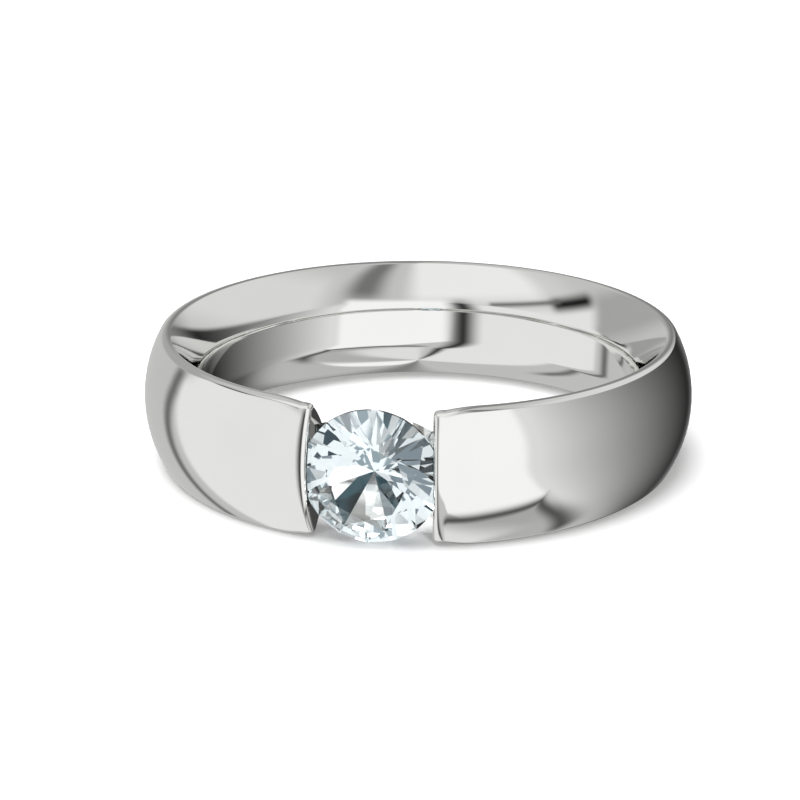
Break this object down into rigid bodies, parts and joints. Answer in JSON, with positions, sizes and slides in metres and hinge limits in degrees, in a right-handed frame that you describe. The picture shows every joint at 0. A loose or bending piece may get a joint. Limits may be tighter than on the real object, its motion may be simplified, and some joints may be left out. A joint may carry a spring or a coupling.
{
  "type": "aquamarine ring",
  "caption": "Wide polished band ring, open at the head, whose two ends grip a round faceted pale blue stone.",
  "frame": {"origin": "on the axis of the finger hole, in the plane that the lower rim rests on", "axes": "+Z along the finger hole, out of the side that faces up; the stone's table looks towards -Y"},
  "size_m": [0.0218, 0.0218, 0.0052],
  "materials": {
    "white_metal": "high polish",
    "pale_blue_stone": "polished facets"
  },
  "bodies": {
    "root": {"band": "white_metal", "stone": "pale_blue_stone"}
  },
  "joints": []
}
